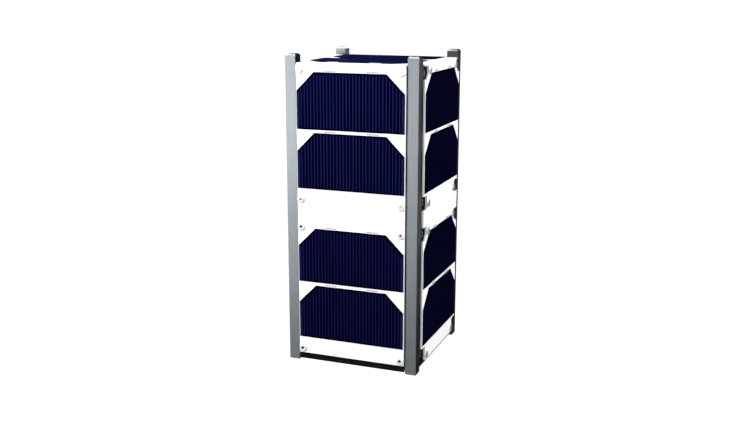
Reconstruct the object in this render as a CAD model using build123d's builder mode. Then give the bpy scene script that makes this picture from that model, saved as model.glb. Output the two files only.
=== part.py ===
from build123d import *
import os

os.makedirs("parts", exist_ok=True)

# A two-unit cube nanosatellite: four corner rails, black ribs and crossbars
# between them, solar panels on four sides and the top, a black plate below.
# Millimetres. +X right along the front face, +Y away from it, +Z up.
# Origin: centre of the footprint, on the plane of the four rail feet.

# ---- driving dimensions -------------------------------------------------
WIDTH = 100.0          # over the outer faces of the rails, both ways
HEIGHT = 227.0         # length of a rail, foot to tip
HALF = WIDTH / 2

RAIL = 8.5             # square section of a rail
RAIL_MID = HALF - RAIL / 2
RAIL_IN = HALF - RAIL  # inner face of a rail
RAIL_ROUND = 0.4       # rounding along the rail
RAIL_TIP, RAIL_FOOT = 1.2, 0.5     # chamfers of its upper and lower end

BAR = 5.0              # thickness of the ribs and crossbars behind the panels
BAR_EDGE = 0.35        # broken edges of a rib

PANEL = 1.4            # side panel, a white circuit board
PANEL_HALF = {False: 40.9, True: 41.3}   # half its width: plain panels, notched panels
PANEL_LOW = 6.6
PANEL_TOP = 220.1
PANEL_OUT = HALF + PANEL
TOP_BOARD = 1.0        # thickness of the top panel
TOP_CUT = 40.6         # corner cut-outs that let the rails through

NOTCH_IN = 33.7        # how far in, from the middle, a notch reaches
CELL_W, CELL_H = 80.8, 40.5
CELL_CROP = 13.3       # cropped corners of a cell, along each edge
CELL = 0.35            # cell, bond line and cover glass together
TOP_CELL_GAP = 2.7

PLATE_LOW, PLATE_T = 1.4, 1.9      # closing plate under the body
PLATE_X, PLATE_Y = 48.0, 49.8      # half its sides

# ---- tables -------------------------------------------------------------
# name, side in x, side in y, what its foot holds
RAILS = [
    ("rail_front_left", -1, -1, "spring"),
    ("rail_front_right", 1, -1, "switch"),
    ("rail_back_left", -1, 1, "switch"),
    ("rail_back_right", 1, 1, "spring"),
]
# kind, bore radius, plunger radius, depth
FOOT = {
    "spring": (2.2, 2.1, 9.0),
    "switch": (1.6, 1.5, 7.0),
}
# level, rib from z, rib to z, crossbar from z, crossbar to z
LEVELS = [
    ("bottom", PLATE_LOW + PLATE_T, 18.4, 4.5, 18.4),
    ("mid_lower", 95.1, 109.4, 95.1, 109.4),
    ("mid_upper", 118.6, 131.4, 118.6, 131.4),
    ("top", 210.0, PANEL_TOP, 210.0, PANEL_TOP),
]
# face name, plane on its rails' outer faces (local x across, local y up), has notches
FACES = [
    ("front", Plane(origin=(0, -HALF, 0), x_dir=(1, 0, 0), z_dir=(0, -1, 0)), False),
    ("right", Plane(origin=(HALF, 0, 0), x_dir=(0, 1, 0), z_dir=(1, 0, 0)), True),
    ("back", Plane(origin=(0, HALF, 0), x_dir=(-1, 0, 0), z_dir=(0, 1, 0)), False),
    ("left", Plane(origin=(-HALF, 0, 0), x_dir=(0, -1, 0), z_dir=(-1, 0, 0)), True),
]
# notches in both long edges of the left and right panels, one list for each edge
# (-1: the edge at the local -x): from z, to z, chamfer of the inner lower corner
NOTCHES = {
    -1: [
        (PANEL_LOW, 17.4, 0.0),
        (97.5, 107.4, 4.0),
        (119.8, 129.8, 0.0),
        (211.0, PANEL_TOP, 4.0),
    ],
    1: [
        (PANEL_LOW, 17.4, 0.0),
        (96.1, 106.0, 4.0),
        (119.4, 128.9, 0.0),
        (211.0, PANEL_TOP, 4.0),
    ],
}
CELL_LOW = [19.2, 62.1, 131.7, 174.4]      # lower edge of each cell on a side
SCREW_Z = [10.1, 103.2, 123.5, 216.4]      # panel screws, four levels
SCREW_ACROSS = {False: 38.2, True: 30.9}   # plain panels, notched panels
FRAME_SCREW_Z = [12.3, 102.1, 125.4, 215.3]  # frame screws seen in the notches
FRAME_SCREW_ACROSS = 38.2

# screws: head radius, head height, socket across corners radius, socket depth
PANEL_SCREW = (2.75, 0.9, 1.3, 0.6)
FRAME_SCREW = (2.75, 0.6, 1.35, 0.45)
PLATE_SCREW = (2.2, 0.6, 0.85, 0.4)
FRAME_SEAT_R, FRAME_SEAT_D = 3.2, 1.35     # sunk seat of a frame screw
PLATE_SCREWS = [(-34.0, -46.9), (34.0, -46.9), (34.0, 46.9), (-34.0, 46.9)]


# ---- rails --------------------------------------------------------------
for name, sx, sy, foot in RAILS:
    bore_r, _, depth = FOOT[foot]
    with BuildPart() as rail:
        # a blank with chamfered ends, 1 mm wider all round, cut down to the rounded section
        with Locations((sx * RAIL_MID, sy * RAIL_MID, HEIGHT / 2)):
            Box(RAIL + 2, RAIL + 2, HEIGHT)
        chamfer(rail.edges().group_by(Axis.Z)[0], length=RAIL_FOOT + 1)
        chamfer(rail.edges().group_by(Axis.Z)[-1], length=RAIL_TIP + 1)
        with BuildSketch(Plane.XY.offset(-1)):
            with Locations((sx * RAIL_MID, sy * RAIL_MID)):
                RectangleRounded(RAIL, RAIL, RAIL_ROUND)
        extrude(amount=HEIGHT + 2, mode=Mode.INTERSECT)
        # blind bore in the foot for a spring plunger or a switch plunger
        with Locations(Plane(origin=(sx * RAIL_MID, sy * RAIL_MID, 0), z_dir=(0, 0, -1))):
            Hole(radius=bore_r, depth=depth)
    rail.part.label = name
    export_step(rail.part, f"parts/{name}.step")

# plungers, pressed in flush with the feet as the body stands
for kind, node in (("spring", "separation_plungers"), ("switch", "switch_plungers")):
    _, pin_r, depth = FOOT[kind]
    spots = [(sx * RAIL_MID, sy * RAIL_MID) for _, sx, sy, k in RAILS if k == kind]
    with BuildPart() as pins:
        with BuildSketch(Plane.XY):
            with Locations(*spots):
                Circle(pin_r)
        extrude(amount=depth)
        chamfer(pins.edges().group_by(Axis.Z)[0], length=0.3)
    pins.part.label = node
    export_step(pins.part, f"parts/{node}.step")

# ---- ribs between the rails, front and back, and crossbars at the sides --
for level, rib_low, rib_high, bar_low, bar_high in LEVELS:
    for face, plane, notched in FACES:
        low, high = (bar_low, bar_high) if notched else (rib_low, rib_high)
        name = f"{'crossbar' if notched else 'rib'}_{face}_{level}"
        with BuildPart() as bar:
            with BuildSketch(plane.offset(-BAR)):
                with Locations((0, (low + high) / 2)):
                    Rectangle(2 * RAIL_IN, high - low)
            extrude(amount=BAR)
            outer = bar.faces().sort_by(Axis(plane.origin, plane.z_dir))[-1]
            long_edges = [
                e for e in outer.edges() if abs(e.tangent_at(0.5).Z) < 0.5
            ]
            chamfer(long_edges, length=BAR_EDGE)
            if notched:
                # sunk seats of the frame screws, one beside each rail
                z = FRAME_SCREW_Z[[row[0] for row in LEVELS].index(level)]
                with Locations(plane):
                    with Locations((-FRAME_SCREW_ACROSS, z), (FRAME_SCREW_ACROSS, z)):
                        Hole(radius=FRAME_SEAT_R, depth=FRAME_SEAT_D)
        bar.part.label = name
        export_step(bar.part, f"parts/{name}.step")

# ---- side panels ---------------------------------------------------------
for face, plane, notched in FACES:
    with BuildPart() as panel:
        with BuildSketch(plane):
            with Locations((0, (PANEL_LOW + PANEL_TOP) / 2)):
                Rectangle(2 * PANEL_HALF[notched], PANEL_TOP - PANEL_LOW)
            if notched:
                out = PANEL_HALF[notched] + 2.0
                for s, rows in NOTCHES.items():
                    for low, high, crop in rows:
                        bottom = low - (2.0 if low == PANEL_LOW else 0.0)
                        top = high + (2.0 if high == PANEL_TOP else 0.0)
                        with BuildLine():
                            Polyline(
                                [
                                    (s * out, bottom),
                                    (s * (NOTCH_IN + crop), bottom),
                                    (s * NOTCH_IN, bottom + crop),
                                    (s * NOTCH_IN, top),
                                    (s * out, top),
                                ]
                                if crop
                                else [
                                    (s * out, bottom),
                                    (s * NOTCH_IN, bottom),
                                    (s * NOTCH_IN, top),
                                    (s * out, top),
                                ],
                                close=True,
                            )
                        make_face(mode=Mode.SUBTRACT)
        extrude(amount=PANEL)
    panel.part.label = f"panel_{face}"
    export_step(panel.part, f"parts/panel_{face}.step")

# ---- top panel and closing plate, cut out round the rails -----------------
SHEETS = [
    # node, from z, thickness, half size x, half size y
    ("panel_top", PANEL_TOP, TOP_BOARD, PANEL_OUT, PANEL_OUT),
    ("closing_plate", PLATE_LOW, PLATE_T, PLATE_X, PLATE_Y),
]
for name, low, thick, half_x, half_y in SHEETS:
    with BuildPart() as sheet:
        with BuildSketch(Plane.XY.offset(low)):
            Rectangle(2 * half_x, 2 * half_y)
            with GridLocations(2 * (TOP_CUT + 10), 2 * (TOP_CUT + 10), 2, 2):
                Rectangle(20, 20, mode=Mode.SUBTRACT)
            if name == "panel_top":
                # no overhang over one upper notch of the right panel and one of the left
                for s in (-1, 1):
                    with Locations((s * (HALF + 5), s * (NOTCH_IN + TOP_CUT) / 2)):
                        Rectangle(10, TOP_CUT - NOTCH_IN, mode=Mode.SUBTRACT)
        extrude(amount=thick)
    sheet.part.label = name
    export_step(sheet.part, f"parts/{name}.step")

# ---- solar cells, two top corners of each cropped -------------------------
def cell_outline(low):
    return [
        (-CELL_W / 2, low),
        (CELL_W / 2, low),
        (CELL_W / 2, low + CELL_H - CELL_CROP),
        (CELL_W / 2 - CELL_CROP, low + CELL_H),
        (-CELL_W / 2 + CELL_CROP, low + CELL_H),
        (-CELL_W / 2, low + CELL_H - CELL_CROP),
    ]


# On the top both cells are cropped towards the front, so their plane's
# local y points to the front.
TOP_PLANE = Plane(origin=(0, 0, PANEL_TOP + TOP_BOARD), x_dir=(-1, 0, 0), z_dir=(0, 0, 1))
CELL_SETS = [(face, plane.offset(PANEL), CELL_LOW) for face, plane, _ in FACES]
CELL_SETS.append(("top", TOP_PLANE, [-TOP_CELL_GAP / 2 - CELL_H, TOP_CELL_GAP / 2]))
for face, plane, lows in CELL_SETS:
    with BuildPart() as cells:
        with BuildSketch(plane):
            for low in lows:
                with BuildLine():
                    Polyline(cell_outline(low), close=True)
                make_face()
        extrude(amount=CELL)
    cells.part.label = f"cells_{face}"
    export_step(cells.part, f"parts/cells_{face}.step")

# ---- screws ----------------------------------------------------------------
# node, plane that the heads stand on, centres in that plane, size
SCREW_SETS = []
for face, plane, notched in FACES:
    a = SCREW_ACROSS[notched]
    spots = [(s * a, z) for z in SCREW_Z for s in (-1, 1)]
    SCREW_SETS.append((f"panel_screws_{face}", plane.offset(PANEL), spots, PANEL_SCREW))
    if notched:
        spots = [(s * FRAME_SCREW_ACROSS, z) for z in FRAME_SCREW_Z for s in (-1, 1)]
        SCREW_SETS.append(
            (f"frame_screws_{face}", plane.offset(-FRAME_SEAT_D), spots, FRAME_SCREW)
        )
SCREW_SETS.append(
    (
        "plate_screws",
        Plane(origin=(0, 0, PLATE_LOW), x_dir=(1, 0, 0), z_dir=(0, 0, -1)),
        PLATE_SCREWS,
        PLATE_SCREW,
    )
)
for name, plane, spots, (head_r, head_h, socket_r, socket_d) in SCREW_SETS:
    with BuildPart() as heads:
        with BuildSketch(plane):
            with Locations(*spots):
                Circle(head_r)
        extrude(amount=head_h)
        rims = heads.edges().group_by(Axis(plane.origin, plane.z_dir))[-1]
        fillet(rims, radius=head_h * 0.55)
        with BuildSketch(plane.offset(head_h)):
            with Locations(*spots):
                RegularPolygon(radius=socket_r, side_count=6)
        extrude(amount=-socket_d, mode=Mode.SUBTRACT)
    heads.part.label = name
    export_step(heads.part, f"parts/{name}.step")

# ---- what is closed inside: the stack of boards and batteries as one block --
STACK_X, STACK_Y, STACK_LOW, STACK_HIGH = 82.6, 90.0, 12.0, 214.0
with BuildPart() as stack:
    with BuildSketch(Plane.XY.offset(STACK_LOW)):
        Rectangle(STACK_X, STACK_Y)
    extrude(amount=STACK_HIGH - STACK_LOW)
stack.part.label = "avionics_stack"
export_step(stack.part, "parts/avionics_stack.step")
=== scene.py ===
import math

import bmesh
import bpy
from mathutils import Matrix, Vector


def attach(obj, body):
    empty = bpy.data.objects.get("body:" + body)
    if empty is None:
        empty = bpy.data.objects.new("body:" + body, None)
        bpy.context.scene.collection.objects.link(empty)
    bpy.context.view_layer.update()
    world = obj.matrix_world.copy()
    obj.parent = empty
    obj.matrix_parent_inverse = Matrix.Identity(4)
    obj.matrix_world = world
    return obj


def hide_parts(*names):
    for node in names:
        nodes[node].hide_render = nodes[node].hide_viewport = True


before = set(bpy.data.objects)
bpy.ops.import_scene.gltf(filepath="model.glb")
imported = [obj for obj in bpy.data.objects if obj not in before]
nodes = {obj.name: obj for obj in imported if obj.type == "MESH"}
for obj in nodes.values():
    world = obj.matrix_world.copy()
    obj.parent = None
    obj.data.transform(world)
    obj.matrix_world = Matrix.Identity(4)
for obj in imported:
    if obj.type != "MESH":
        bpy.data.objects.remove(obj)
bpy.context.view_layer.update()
MM = 0.001


# ---------------------------------------------------------------- materials
class Graph:
    """A node material built step by step; patterns are in the row frame, in metres."""

    def __init__(self, name):
        self.mat = bpy.data.materials.new(name)
        self.mat.use_nodes = True
        self.tree = self.mat.node_tree
        self.tree.nodes.clear()
        out = self.add("ShaderNodeOutputMaterial")
        self.bsdf = self.add("ShaderNodeBsdfPrincipled")
        self.tree.links.new(self.bsdf.outputs["BSDF"], out.inputs["Surface"])
        self.coord = self.add("ShaderNodeTexCoord").outputs["Object"]
        geometry = self.add("ShaderNodeNewGeometry")
        self.normal = geometry.outputs["Normal"]

    def add(self, kind, **settings):
        node = self.tree.nodes.new(kind)
        for key, value in settings.items():
            setattr(node, key, value)
        return node

    def put(self, socket, value):
        if isinstance(value, bpy.types.NodeSocket):
            self.tree.links.new(value, socket)
        else:
            socket.default_value = value

    def set(self, **values):
        """Settings on the shader's own sockets; names with spaces use underscores."""
        for key, value in values.items():
            self.put(self.bsdf.inputs[key.replace("_", " ")], value)

    def math(self, op, a, b=0.0, clamp=False):
        node = self.add("ShaderNodeMath", operation=op, use_clamp=clamp)
        self.put(node.inputs[0], a)
        self.put(node.inputs[1], b)
        return node.outputs[0]

    def parts(self, vector):
        node = self.add("ShaderNodeSeparateXYZ")
        self.put(node.inputs[0], vector)
        return node.outputs

    def stretched(self, stretch):
        node = self.add("ShaderNodeMapping")
        self.put(node.inputs["Vector"], self.coord)
        node.inputs["Scale"].default_value = stretch
        return node.outputs[0]

    def noise(self, scale, stretch=(1, 1, 1), detail=2.0, rough=0.5):
        node = self.add("ShaderNodeTexNoise")
        self.put(node.inputs["Vector"], self.stretched(stretch))
        node.inputs["Scale"].default_value = scale
        node.inputs["Detail"].default_value = detail
        node.inputs["Roughness"].default_value = rough
        return node.outputs[0]

    def spots(self, scale, low, high):
        """Small round specks where a cell pattern's distance is short."""
        node = self.add("ShaderNodeTexVoronoi")
        self.put(node.inputs["Vector"], self.coord)
        node.inputs["Scale"].default_value = scale
        return self.span(node.outputs["Distance"], high, low)

    def span(self, value, low, high, to_low=0.0, to_high=1.0):
        node = self.add("ShaderNodeMapRange", clamp=True)
        self.put(node.inputs["Value"], value)
        node.inputs["From Min"].default_value = low
        node.inputs["From Max"].default_value = high
        node.inputs["To Min"].default_value = to_low
        node.inputs["To Max"].default_value = to_high
        return node.outputs[0]

    def mix(self, fac, a, b):
        node = self.add("ShaderNodeMix", data_type="RGBA")
        self.put(node.inputs[0], fac)
        for socket, value in ((node.inputs[6], a), (node.inputs[7], b)):
            self.put(socket, value if isinstance(value, bpy.types.NodeSocket) else (*value, 1.0))
        return node.outputs[2]

    def bump(self, height, distance, strength=1.0, under=None):
        node = self.add("ShaderNodeBump")
        self.put(node.inputs["Height"], height)
        node.inputs["Distance"].default_value = distance
        node.inputs["Strength"].default_value = strength
        if under is not None:
            self.put(node.inputs["Normal"], under)
        return node.outputs[0]

    def edges(self, low, high):
        """1 on rounded and broken edges, whose normals lie between the axes."""
        x, y, z = self.parts(self.normal)[:3]
        x, y, z = (self.math("ABSOLUTE", c) for c in (x, y, z))
        most = self.math("MAXIMUM", self.math("MAXIMUM", x, y), z)
        return self.span(self.math("SUBTRACT", 1.0, most), low, high)


def anodised_rail():
    """Hard anodised aluminium, satin grey, drawn along the rail."""
    g = Graph("rail_hard_anodised")
    grain = g.noise(2600.0, (1, 1, 0.012), 3.0, 0.6)
    fine = g.noise(9000.0, (1, 1, 0.02), 2.0, 0.6)
    cloud = g.noise(42.0, (1, 1, 0.5), 3.0, 0.55)
    scratch = g.span(g.noise(1500.0, (1, 1, 0.0035), 1.0, 0.4), 0.70, 0.74)
    rub = g.math("MULTIPLY", g.edges(0.03, 0.2), g.span(g.noise(260.0, (1, 1, 0.25), 4.0, 0.65), 0.42, 0.66))
    tone = g.math("ADD", g.math("MULTIPLY", grain, 0.55), g.math("MULTIPLY", cloud, 0.45))
    body = g.mix(g.span(tone, 0.3, 0.7), RAIL_DARK, RAIL_LIGHT)
    body = g.mix(g.math("MULTIPLY", scratch, 0.3), body, (0.52, 0.53, 0.54))
    g.set(Base_Color=g.mix(g.math("MULTIPLY", rub, 0.5), body, (0.60, 0.61, 0.62)))
    g.set(Metallic=1.0)
    g.bsdf.inputs["Specular Tint"].default_value = (0.4, 0.4, 0.4, 1.0)
    rough = g.math("ADD", g.span(fine, 0.3, 0.7, RAIL_ROUGH - 0.03, RAIL_ROUGH + 0.04), g.math("MULTIPLY", cloud, 0.03))
    g.set(Roughness=g.math("SUBTRACT", rough, g.math("MULTIPLY", rub, 0.08)))
    g.set(Normal=g.bump(fine, 0.000006, 0.6, g.bump(grain, 0.00001, 0.6)))
    return g.mat


def anodised_frame():
    """Matt black anodised ribs and crossbars, a little paler where edges rub."""
    g = Graph("frame_black_anodised")
    blast = g.noise(5200.0, detail=3.0, rough=0.6)
    cloud = g.noise(60.0, detail=3.0)
    rub = g.math("MULTIPLY", g.edges(0.04, 0.25), g.span(g.noise(420.0, detail=4.0, rough=0.65), 0.4, 0.62))
    body = g.mix(cloud, (0.009, 0.009, 0.010), (0.016, 0.016, 0.017))
    g.set(Base_Color=g.mix(g.math("MULTIPLY", rub, 0.6), body, (0.10, 0.10, 0.10)))
    g.set(Roughness=g.span(blast, 0.3, 0.7, 0.42, 0.56))
    g.bsdf.inputs["Specular IOR Level"].default_value = 0.35
    g.set(Normal=g.bump(blast, 0.00002, 0.7))
    return g.mat


def circuit_board(name, axis):
    """White solder mask over woven glass laminate; cut edges show the laminate's layers.
    axis 0, 1 or 2 is the board's thickness direction."""
    g = Graph(name)
    along = g.parts(g.normal)[axis]
    cut = g.span(g.math("ABSOLUTE", along), 0.72, 0.40)
    u, v = [k for k in range(3) if k != axis]
    place = g.parts(g.coord)
    weave_u = g.math("SINE", g.math("MULTIPLY", place[u], 2 * math.pi / 0.00082))
    weave_v = g.math("SINE", g.math("MULTIPLY", place[v], 2 * math.pi / 0.00074))
    weave = g.math("MULTIPLY", weave_u, weave_v)
    peel = g.noise(780.0, detail=2.0)
    cloud = g.noise(28.0, detail=3.0)
    specks = g.math("MULTIPLY", g.spots(900.0, 0.05, 0.09), g.span(g.noise(700.0), 0.62, 0.7))
    mask = g.mix(cloud, (0.80, 0.81, 0.80), (0.86, 0.865, 0.855))
    mask = g.mix(g.math("MULTIPLY", specks, 0.35), mask, (0.45, 0.44, 0.42))
    layers = g.math("SINE", g.math("MULTIPLY", place[axis], 2 * math.pi / 0.0002))
    glass = g.noise(3000.0, detail=3.0, rough=0.7)
    shade = g.math("ADD", g.math("MULTIPLY", layers, 0.25), glass)
    laminate = g.mix(g.span(shade, 0.2, 0.9), (0.56, 0.565, 0.60), (0.76, 0.77, 0.81))
    g.set(Base_Color=g.mix(cut, mask, laminate))
    gloss = g.span(peel, 0.3, 0.7, 0.30, 0.38)
    g.set(Roughness=g.math("ADD", gloss, g.math("MULTIPLY", cut, 0.4), True))
    g.bsdf.inputs["Specular IOR Level"].default_value = 0.4
    g.set(Normal=g.bump(glass, 0.00002, 0.25, g.bump(weave, 0.000003, 0.5, g.bump(peel, 0.00002, 0.5))))
    return g.mat


def cell_glass(name, dark, light, rough, level=0.0, coat=0.04):
    """Dark blue cell under a thin cover glass: a fine speckle, a soft drift of tone."""
    g = Graph(name)
    grain = g.noise(6400.0, detail=2.0, rough=0.7)
    drift = g.noise(34.0, (1, 1, 1), 3.0)
    tone = g.math("ADD", g.math("MULTIPLY", grain, 0.35), g.math("MULTIPLY", drift, 0.65))
    g.set(Base_Color=g.mix(g.span(tone, 0.3, 0.7), dark, light))
    g.set(Roughness=g.span(grain, 0.3, 0.7, rough, rough + 0.08))
    g.bsdf.inputs["Specular IOR Level"].default_value = level
    g.bsdf.inputs["Coat Weight"].default_value = coat
    g.bsdf.inputs["Coat Roughness"].default_value = 0.05
    g.bsdf.inputs["Coat IOR"].default_value = 1.25
    return g.mat


def metal(name, dark, light, rough, brushed=(1, 1, 1), scale=2400.0, tarnish=None, metallic=1.0):
    """Bare metal with a fine finish."""
    g = Graph(name)
    grain = g.noise(scale, brushed, 3.0, 0.6)
    cloud = g.noise(520.0, detail=3.0)
    body = g.mix(g.span(grain, 0.3, 0.7), dark, light)
    if tarnish:
        body = g.mix(g.span(cloud, 0.5, 0.75, 0.0, 0.5), body, tarnish)
    g.set(Base_Color=body, Metallic=metallic)
    g.set(Roughness=g.math("ADD", g.span(grain, 0.3, 0.7, rough - 0.05, rough + 0.05), g.math("MULTIPLY", cloud, 0.05)))
    g.set(Normal=g.bump(grain, 0.000008, 0.6))
    return g.mat


def pale_foil(name, dark, light):
    """Dull silver ribbon of a cell's tab."""
    g = Graph(name)
    grain = g.noise(4200.0, detail=3.0, rough=0.65)
    g.set(Base_Color=g.mix(g.span(grain, 0.3, 0.7), dark, light))
    g.set(Roughness=g.span(grain, 0.3, 0.7, 0.42, 0.55), Metallic=0.1)
    g.set(Normal=g.bump(grain, 0.00001, 0.6))
    return g.mat


RAIL_DARK, RAIL_LIGHT, RAIL_ROUGH = (0.333, 0.360, 0.382), (0.400, 0.430, 0.456), 0.40

RAIL = anodised_rail()
FRAME = anodised_frame()
BOARD = {axis: circuit_board(f"board_white_{'xyz'[axis]}", axis) for axis in range(3)}
CELL = cell_glass("cell_active", (0.00008, 0.00010, 0.0080), (0.00014, 0.00018, 0.0100), 0.30)
RIM = cell_glass("cell_rim", (0.00012, 0.00012, 0.0018), (0.00020, 0.00020, 0.0026), 0.30)
FINGER = cell_glass("cell_finger", (0.0056, 0.0064, 0.034), (0.0068, 0.0078, 0.041), 0.40, 0.0, 0.0)
STEEL = metal("screw_steel", (0.60, 0.60, 0.59), (0.74, 0.73, 0.72), 0.40, tarnish=(0.50, 0.49, 0.48))
DULL = metal("screw_dull_zinc", (0.52, 0.52, 0.52), (0.64, 0.64, 0.64), 0.45, tarnish=(0.42, 0.42, 0.42), metallic=0.3)
HEAD = metal("screw_head_nickel", (0.78, 0.78, 0.79), (0.88, 0.88, 0.89), 0.34, tarnish=(0.62, 0.62, 0.63), metallic=0.35)
# painted shade: the socket material is near black, so the recess looks shaded under any lamp
SOCKET_SHADE = metal("screw_socket_painted_shade", (0.020, 0.020, 0.021), (0.045, 0.045, 0.047), 0.6, metallic=0.4)
PIN = metal("plunger_steel", (0.50, 0.50, 0.49), (0.64, 0.63, 0.62), 0.25)
TAB = pale_foil("tab_foil", (0.38, 0.345, 0.405), (0.46, 0.42, 0.485))
# painted shade: the six dark discs on each tab stand in for the shade in the slits between its tongues
WELD = pale_foil("tab_dot_painted_shade", (0.20, 0.19, 0.20), (0.30, 0.29, 0.30))
INSIDE = metal("avionics_plain", (0.08, 0.10, 0.08), (0.12, 0.14, 0.12), 0.6)


def paint(name, material):
    slots = nodes[name].data.materials
    if len(slots):
        for k in range(len(slots)):
            slots[k] = material
    else:
        slots.append(material)


def soften(name, width, segments=2):
    """Breaks a sheet part's sharp edges: the part's split faces are joined first."""
    weld = nodes[name].modifiers.new("join", "WELD")
    weld.merge_threshold = 1e-6
    bevel = nodes[name].modifiers.new("edge", "BEVEL")
    bevel.width = width
    bevel.segments = segments
    bevel.limit_method = "ANGLE"
    bevel.angle_limit = math.radians(40)
    bevel.harden_normals = True


for name in nodes:
    if name.startswith("rail_"):
        paint(name, RAIL)
    elif name.startswith(("rib_", "crossbar_", "closing_plate")):
        paint(name, FRAME)
    elif name.startswith(("panel_screws", "plate_screws")):
        paint(name, STEEL)
    elif name.startswith("frame_screws"):
        paint(name, DULL)
    elif name.startswith("panel_"):
        axis = {"front": 1, "back": 1, "left": 0, "right": 0, "top": 2}[name.split("_")[1]]
        paint(name, BOARD[axis])
        soften(name, 0.12 * MM)
    elif name.endswith("_plungers"):
        paint(name, PIN)
    elif name == "avionics_stack":
        paint(name, INSIDE)


# ---------------------------------------------------------------- solar cells
CELL_W, CELL_H, CELL_CROP, CELL_T = 80.8, 40.5, 13.3, 0.35
RIM_W = 0.75                  # dark border of a cell
FINGERS, PITCH = 33, 2.455    # raised lines, one on the middle
FINGER_W, FINGER_T = 0.85, 0.035
CELL_LOW = [19.2, 62.1, 131.7, 174.4]
OUT = 51.4
# face: origin on the board's surface, across, up, outward
FACES = {
    "front": ((0, -OUT, 0), (1, 0, 0), (0, 0, 1), (0, -1, 0), CELL_LOW),
    "right": ((OUT, 0, 0), (0, 1, 0), (0, 0, 1), (1, 0, 0), CELL_LOW),
    "back": ((0, OUT, 0), (-1, 0, 0), (0, 0, 1), (0, 1, 0), CELL_LOW),
    "left": ((-OUT, 0, 0), (0, -1, 0), (0, 0, 1), (-1, 0, 0), CELL_LOW),
    "top": ((0, 0, 221.1), (-1, 0, 0), (0, -1, 0), (0, 0, 1), [-41.85, 1.35]),
}


class Face:
    def __init__(self, name):
        self.origin, self.across, self.up, self.out = (Vector(v) for v in FACES[name][:4])
        self.lows = FACES[name][4]

    def at(self, a, u, n):
        return (self.origin + self.across * a + self.up * u + self.out * n) * MM


def outline(low, inset=0.0):
    """Corners of a cell with both upper corners cropped, counterclockwise from outside."""
    w, h, c = CELL_W / 2 - inset, CELL_H, CELL_CROP
    slant = inset * (math.sqrt(2) - 1)
    return [
        (-w, low + inset),
        (w, low + inset),
        (w, low + h - c - slant),
        (w + inset - c - slant, low + h - inset),
        (-w - inset + c + slant, low + h - inset),
        (-w, low + h - c - slant),
    ]


pieces = {}


def object_of(name, mesh_builder, *materials):
    bm = bmesh.new()
    mesh_builder(bm)
    bmesh.ops.recalc_face_normals(bm, faces=bm.faces)
    mesh = bpy.data.meshes.new(name)
    bm.to_mesh(mesh)
    bm.free()
    for material in materials:
        mesh.materials.append(material)
    piece = bpy.data.objects.new(name, mesh)
    bpy.context.scene.collection.objects.link(piece)
    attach(piece, "root")
    pieces[name] = piece
    return piece


def ring_of(bm, points):
    return [bm.verts.new(p) for p in points]


def skin(bm, rings, material=0, close_first=True, close_last=True):
    """Joins rings of the same count into a closed shell and returns its faces."""
    made = []
    for low, high in zip(rings, rings[1:]):
        n = len(low)
        for k in range(n):
            made.append(bm.faces.new((low[k], low[(k + 1) % n], high[(k + 1) % n], high[k])))
    if close_first:
        made.append(bm.faces.new(list(reversed(rings[0]))))
    if close_last:
        made.append(bm.faces.new(rings[-1]))
    for f in made:
        f.material_index = material
    return made


def lay_cell(bm, face, low):
    """One cell: a thin body with a broken edge, a dark border and an active field a hair higher."""
    rings = []
    for inset, n in ((0.0, 0.0), (0.0, CELL_T - 0.07), (0.02, CELL_T - 0.02), (0.07, CELL_T), (RIM_W, CELL_T), (RIM_W + 0.02, CELL_T + 0.012)):
        rings.append(ring_of(bm, [face.at(a, u, n) for a, u in outline(low, inset)]))
    for f in skin(bm, rings):
        pass
    top = rings[-1]
    for f in top[0].link_faces:
        if all(v in f.verts for v in top):
            f.material_index = 1


def finger_top(a, low):
    """Where a finger ends under the cropped upper edge."""
    level = low + CELL_H - RIM_W - 0.45
    edge = abs(a) + FINGER_W / 2 - (CELL_W / 2 - CELL_CROP)
    if edge > -0.4:
        level = min(level, low + CELL_H - edge - RIM_W * math.sqrt(2) - 0.5)
    return level


def lay_fingers(bm, face, low):
    base = CELL_T + 0.008
    for k in range(FINGERS):
        a = (k - (FINGERS - 1) / 2) * PITCH
        if abs(a) + FINGER_W / 2 > CELL_W / 2 - 0.05:
            continue
        width = FINGER_W
        if abs(a) > CELL_W / 2 - RIM_W - FINGER_W / 2:
            width = 2 * (CELL_W / 2 - 0.12 - abs(a))
            if width < 0.2:
                continue
        u0, u1 = low + RIM_W + 0.25, finger_top(a, low)
        w0, w1 = width / 2, width / 2 - 0.06
        rings = [
            ring_of(bm, [face.at(a - w0, u0, base), face.at(a + w0, u0, base), face.at(a + w0, u1, base), face.at(a - w0, u1, base)]),
            ring_of(bm, [face.at(a - w1, u0 + 0.06, base + FINGER_T), face.at(a + w1, u0 + 0.06, base + FINGER_T), face.at(a + w1, u1 - 0.06, base + FINGER_T), face.at(a - w1, u1 - 0.06, base + FINGER_T)]),
        ]
        skin(bm, rings, 2)


# Interconnect tabs: two over each cell's upper edge, welded to the board.
TABS = [(-19.6, -10.9), (12.5, 21.3)]
TAB_T = 0.06


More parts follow.
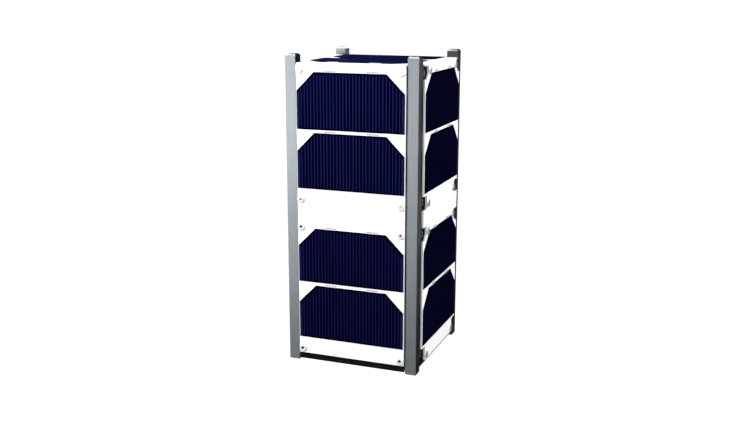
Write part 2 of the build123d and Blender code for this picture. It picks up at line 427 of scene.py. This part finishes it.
def lay_tab(bm, face, low, a0, a1):
    """A ribbon that starts on the cell's rim, steps down and lies on the board, with six small raised discs on it, dark
    as painted shade for slits between its tongues.
    """
    top = low + CELL_H
    path = [(top - 0.06, CELL_T + 0.01), (top + 0.03, CELL_T + 0.01), (top + 0.16, CELL_T - 0.06), (top + 0.38, 0.12), (top + 0.52, 0.03), (top + 1.35, 0.01)]
    rings = []
    for k, (u, n) in enumerate(path):
        rings.append(ring_of(bm, [face.at(a0, u, n), face.at(a1, u, n), face.at(a1, u, n + TAB_T), face.at(a0, u, n + TAB_T)]))
    skin(bm, rings)
    # six raised discs, coloured dark as painted shade for the slits between the tongues
    for j in range(6):
        a = a0 + (j + 0.5) * (a1 - a0) / 6
        u = top + 0.90
        disc = []
        for r, n in ((0.30, 0.01 + TAB_T * 0.5), (0.30, 0.01 + TAB_T + 0.02), (0.20, 0.01 + TAB_T + 0.045)):
            disc.append(ring_of(bm, [face.at(a + r * math.cos(t), u + r * math.sin(t), n) for t in [2 * math.pi * i / 14 for i in range(14)]]))
        skin(bm, disc, 1)


for name in FACES:
    face = Face(name)

    def cells(bm):
        for low in face.lows:
            lay_cell(bm, face, low)
            lay_fingers(bm, face, low)

    piece = object_of(f"solar_cells_{name}", cells, RIM, CELL, FINGER)
    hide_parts(f"cells_{name}")

    def tabs(bm):
        for low in face.lows:
            if abs(low + CELL_H) < 2.0:
                continue          # the two top cells nearly touch, with no room for tabs between them
            for a0, a1 in TABS:
                lay_tab(bm, face, low, a0, a1)

    piece = object_of(f"cell_tabs_{name}", tabs, TAB, WELD)


# ---------------------------------------------------------------- panel screws
SCREW_Z = [10.1, 103.2, 123.5, 216.4]
SCREW_ACROSS = {"front": 38.2, "right": 30.9, "back": 38.2, "left": 30.9}
HEAD_R, HEAD_H, HEX_R = 2.75, 0.9, 1.2
SIDES = 36
# the frame screws sit sunk in the crossbars and show in the notches
FRAME_SCREW_Z = [12.3, 102.1, 125.4, 215.3]
FRAME_SCREW_ACROSS, FRAME_SCREW_BASE, FRAME_HEAD_H, FRAME_HEX_R = 38.2, 50.0 - 1.35 - OUT, 0.6, 1.34


def lay_screw(bm, face, a, u, turn, base=0.0, tall=HEAD_H, hex_r=HEX_R):
    """A low cylinder head with a rounded rim, a turned groove inside it and a countersunk hexagon socket, whose deep
    walls and floor take slot 1, a dark painted shade.
    """
    steps = [2 * math.pi * k / SIDES for k in range(SIDES)]

    def level(n):
        return base + n * tall / HEAD_H

    def circle(r, n):
        return ring_of(bm, [face.at(a + r * math.cos(t), u + r * math.sin(t), level(n)) for t in steps])

    def hexagon(r, n):
        points = []
        for t in steps:
            reach = r * math.cos(math.pi / 6) / math.cos(t % (math.pi / 3) - math.pi / 6)
            points.append(face.at(a + reach * math.cos(t + turn), u + reach * math.sin(t + turn), level(n)))
        return ring_of(bm, points)

    rings = [circle(2.62, 0.0), circle(HEAD_R, 0.08), circle(HEAD_R, 0.46), circle(2.71, 0.63), circle(2.58, 0.77), circle(2.36, 0.87), circle(2.10, HEAD_H)]
    rings += [circle(1.72, HEAD_H), circle(1.66, HEAD_H - 0.02), circle(1.60, HEAD_H), circle(1.42, HEAD_H)]
    rings += [hexagon(hex_r + 0.04, HEAD_H - 0.10), hexagon(hex_r, HEAD_H - 0.14), hexagon(hex_r, 0.12), hexagon(hex_r * 0.5, 0.05)]
    skin(bm, rings)
    inner = set(rings[-4] + rings[-3] + rings[-2] + rings[-1])
    # the socket's walls below the countersink and its floor take slot 1, the dark painted shade
    for v in rings[-1] + rings[-2]:
        for f in v.link_faces:
            if all(w in inner for w in f.verts):
                f.material_index = 1


for name, across in SCREW_ACROSS.items():
    face = Face(name)

    def screws(bm):
        for j, z in enumerate(SCREW_Z):
            for k, side in enumerate((-1, 1)):
                lay_screw(bm, face, side * across, z, 0.35 + 0.9 * j + 0.5 * k)

    piece = object_of(f"screw_heads_{name}", screws, HEAD, SOCKET_SHADE)
    piece.data.shade_smooth()
    piece.data.set_sharp_from_angle(angle=math.radians(38))
    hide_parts(f"panel_screws_{name}")

for name in ("right", "left"):
    face = Face(name)

    def screws(bm):
        for j, z in enumerate(FRAME_SCREW_Z):
            for k, side in enumerate((-1, 1)):
                lay_screw(bm, face, side * FRAME_SCREW_ACROSS, z, 0.2 + 0.7 * j + 0.4 * k, FRAME_SCREW_BASE, FRAME_HEAD_H, FRAME_HEX_R)

    piece = object_of(f"frame_screw_heads_{name}", screws, DULL, SOCKET_SHADE)
    piece.data.shade_smooth()
    piece.data.set_sharp_from_angle(angle=math.radians(38))
    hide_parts(f"frame_screws_{name}")


# ---------------------------------------------------------------- stage
def floor_material():
    m = bpy.data.materials.new("floor_pale")
    m.use_nodes = True
    t = m.node_tree
    t.nodes.clear()
    out = t.nodes.new("ShaderNodeOutputMaterial")
    paint_ = t.nodes.new("ShaderNodeBsdfPrincipled")
    paint_.inputs["Base Color"].default_value = (0.80, 0.80, 0.80, 1)
    paint_.inputs["Roughness"].default_value = 0.7
    paint_.inputs["Emission Color"].default_value = (1, 1, 1, 1)
    paint_.inputs["Emission Strength"].default_value = 1.05
    clear = t.nodes.new("ShaderNodeBsdfTransparent")
    side = t.nodes.new("ShaderNodeNewGeometry")
    mix = t.nodes.new("ShaderNodeMixShader")
    t.links.new(side.outputs["Backfacing"], mix.inputs[0])
    t.links.new(paint_.outputs[0], mix.inputs[1])
    t.links.new(clear.outputs[0], mix.inputs[2])
    t.links.new(mix.outputs[0], out.inputs["Surface"])
    return m


def make_floor():
    mesh = bpy.data.meshes.new("floor")
    s = 20.0
    mesh.from_pydata([(-s, -s, 0), (s, -s, 0), (s, s, 0), (-s, s, 0)], [], [(0, 1, 2, 3)])
    mesh.materials.append(floor_material())
    floor = bpy.data.objects.new("floor", mesh)
    bpy.context.scene.collection.objects.link(floor)
    floor.location.z = -0.0001
    floor.visible_diffuse = False
    floor.visible_glossy = False
    floor.visible_shadow = False


make_floor()


def area(name, place, target, size, power, colour=(1, 1, 1), glossy=True):
    data = bpy.data.lights.new(name, "AREA")
    data.shape = "DISK"
    data.size = size
    data.energy = power
    data.color = colour
    lamp = bpy.data.objects.new(name, data)
    bpy.context.scene.collection.objects.link(lamp)
    lamp.location = place
    lamp.rotation_euler = (Vector(target) - Vector(place)).to_track_quat("-Z", "Y").to_euler()
    lamp.visible_glossy = glossy
    lamp.visible_camera = False
    return lamp


def around(azimuth, elevation, distance, centre=(0, 0, 0.12)):
    """A place seen from the object's middle; azimuth 0 is straight in front, 90 to the right."""
    a, e = math.radians(azimuth), math.radians(elevation)
    return Vector(centre) + distance * Vector((math.sin(a) * math.cos(e), -math.cos(a) * math.cos(e), math.sin(e)))


def lights_only(lamp, objects):
    """The lamp lights these objects and no others."""
    group = bpy.data.collections.new("lit_by_" + lamp.name)
    for thing in objects:
        group.objects.link(thing)
    lamp.light_linking.receiver_collection = group


MIDDLE = (0, 0, 0.12)
RAILS = {side: nodes["rail_" + side] for side in ("front_left", "front_right", "back_left", "back_right")}
BOARDS = {side: nodes["panel_" + side] for side in FACES}
DARKS = [nodes[name] for name in nodes if name.startswith(("rib_", "crossbar_", "closing_plate", "plate_screws", "avionics"))]
DARKS += [nodes[name] for name in nodes if name.endswith("_plungers")]
DARKS += [pieces["frame_screw_heads_" + side] for side in ("right", "left")]
TABS_ON = {side: pieces["cell_tabs_" + side] for side in FACES if "cell_tabs_" + side in pieces}
CELLS_ON = {side: pieces["solar_cells_" + side] for side in FACES}
HEADS_ON = {side: pieces["screw_heads_" + side] for side in SCREW_ACROSS}
SEEN = ("front", "right", "top")
PALE = [group[side] for group in (BOARDS, TABS_ON, HEADS_ON) for side in SEEN if side in group]
CELLS = [CELLS_ON[side] for side in SEEN]
FAR = [group[side] for group in (BOARDS, TABS_ON, HEADS_ON) for side in ("back", "left") if side in group]
FAR_CELLS = [CELLS_ON[side] for side in ("back", "left")]
FRONT_RAILS = [RAILS["front_left"], RAILS["front_right"]]

# the rails are satin: they show the softboxes, not the boards beside them
for board in BOARDS.values():
    board.visible_glossy = False

# broad, distant lamps for the pale boards, so that they are evenly white
lights_only(area("board_key", around(-30, 35, 0.7), MIDDLE, 0.25, 3.5), PALE + DARKS)
lights_only(area("board_left", around(-60, 10, 1.0), MIDDLE, 0.40, 10.0), PALE)
lights_only(area("board_front_right", around(35, 5, 1.5), MIDDLE, 0.40, 12.0), PALE + CELLS)
lights_only(area("board_right", around(90, 15, 1.0), MIDDLE, 0.30, 10.5), [thing for thing in PALE if thing != HEADS_ON["right"]])
lights_only(area("board_top", around(0, 85, 1.0), MIDDLE, 0.40, 11.0), PALE)
# the cells catch a steeper lamp that fades downward
lights_only(area("cell_key", around(-30, 55, 0.6), MIDDLE, 0.25, 10.0), CELLS)
# softboxes that the satin rails reflect
lights_only(area("rail_left", around(-44, -2, 1.5), MIDDLE, 0.40, 8.9), FRONT_RAILS)
lights_only(area("rail_front", around(-5, -3, 1.5), MIDDLE, 0.40, 2.3), FRONT_RAILS)
lights_only(area("rail_left_behind", around(-44, -3, 1.5), MIDDLE, 0.40, 8.8), [RAILS["back_left"]])
lights_only(area("rail_front_behind", around(-5, -3, 1.5), MIDDLE, 0.40, 2.6), [RAILS["back_left"]])
lights_only(area("rail_right", around(90, 40, 0.5), MIDDLE, 0.20, 1.6), [RAILS["back_left"], RAILS["back_right"]])
lights_only(area("dark_right", around(90, 15, 1.0), MIDDLE, 0.30, 2.6), DARKS + CELLS + [HEADS_ON["right"]])
lights_only(area("rail_behind_front", around(-5, 15, 1.5), MIDDLE, 0.50, 1.3), [RAILS["back_right"]])
lights_only(area("rail_back", around(145, 50, 0.9), MIDDLE, 0.25, 15.5), [RAILS["back_left"]])
lights_only(area("rail_back_low", around(158, -7, 1.2), MIDDLE, 0.60, 0.50), FRONT_RAILS)
lights_only(area("rail_rims", around(-80, 65, 1.0), MIDDLE, 0.50, 2.5), list(RAILS.values()))
# the same care for the faces turned away: back, left and below
lights_only(area("far_key", around(150, 35, 0.7), MIDDLE, 0.25, 3.5), FAR)
lights_only(area("far_right", around(120, 10, 1.0), MIDDLE, 0.40, 10.0), FAR)
lights_only(area("far_middle", around(215, 5, 1.5), MIDDLE, 0.40, 12.0), FAR + FAR_CELLS)
lights_only(area("far_left", around(270, 15, 1.0), MIDDLE, 0.30, 10.5), FAR + FAR_CELLS)
lights_only(area("far_cells", around(150, 55, 0.6), MIDDLE, 0.25, 10.0), FAR_CELLS)
lights_only(area("far_rails_back", around(208, -8, 1.5), MIDDLE, 0.60, 8.0), list(RAILS.values()) + DARKS)
lights_only(area("far_rails_left", around(262, -8, 1.5), MIDDLE, 0.60, 5.0), list(RAILS.values()) + DARKS)
lights_only(area("below", around(180, -80, 0.9), MIDDLE, 0.50, 6.0), DARKS)
lights_only(area("below_rails", around(60, -65, 0.9), MIDDLE, 0.50, 2.5), list(RAILS.values()))


def make_world():
    """White behind the object; for lighting and reflections, a dim studio with soft patches."""
    world = bpy.data.worlds.new("studio")
    bpy.context.scene.world = world
    world.use_nodes = True
    t = world.node_tree
    t.nodes.clear()
    out = t.nodes.new("ShaderNodeOutputWorld")
    direction = t.nodes.new("ShaderNodeTexCoord").outputs["Generated"]

    def math_(op, a, b):
        n = t.nodes.new("ShaderNodeMath")
        n.operation = op
        for socket, value in zip(n.inputs, (a, b)):
            if isinstance(value, bpy.types.NodeSocket):
                t.links.new(value, socket)
            else:
                socket.default_value = value
        return n.outputs[0]

    def patch(toward, power, strength):
        n = t.nodes.new("ShaderNodeVectorMath")
        n.operation = "DOT_PRODUCT"
        t.links.new(direction, n.inputs[0])
        n.inputs[1].default_value = Vector(toward).normalized()
        return math_("MULTIPLY", math_("POWER", math_("MAXIMUM", n.outputs["Value"], 0.0), power), strength)

    total = 0.01
    for toward, power, strength in (
        ((0, 0, 1), 1.0, 0.02),
        ((0, -1, 0), 2.0, 0.02),
    ):
        total = math_("ADD", patch(toward, power, strength), total)
    light = t.nodes.new("ShaderNodeBackground")
    t.links.new(total, light.inputs["Strength"])
    light.inputs["Color"].default_value = (1, 1, 1, 1)
    white = t.nodes.new("ShaderNodeBackground")
    white.inputs["Color"].default_value = (1, 1, 1, 1)
    white.inputs["Strength"].default_value = 1.05
    seen = t.nodes.new("ShaderNodeLightPath").outputs["Is Camera Ray"]
    mix = t.nodes.new("ShaderNodeMixShader")
    t.links.new(seen, mix.inputs[0])
    t.links.new(light.outputs[0], mix.inputs[1])
    t.links.new(white.outputs[0], mix.inputs[2])
    t.links.new(mix.outputs[0], out.inputs["Surface"])


make_world()

lens = bpy.data.cameras.new("camera")
lens.lens = 47.832
lens.sensor_fit = "HORIZONTAL"
lens.sensor_width = 36.0
lens.clip_start, lens.clip_end = 0.01, 60.0
camera = bpy.data.objects.new("camera", lens)
camera.location = (0.25457, -0.67167, 0.26962)
camera.rotation_euler = [math.radians(a) for a in (77.069, 0.012, 21.408)]
bpy.context.scene.collection.objects.link(camera)
bpy.context.scene.camera = camera
bpy.context.scene.view_settings.view_transform = "Standard"
bpy.context.scene.view_settings.look = "None"
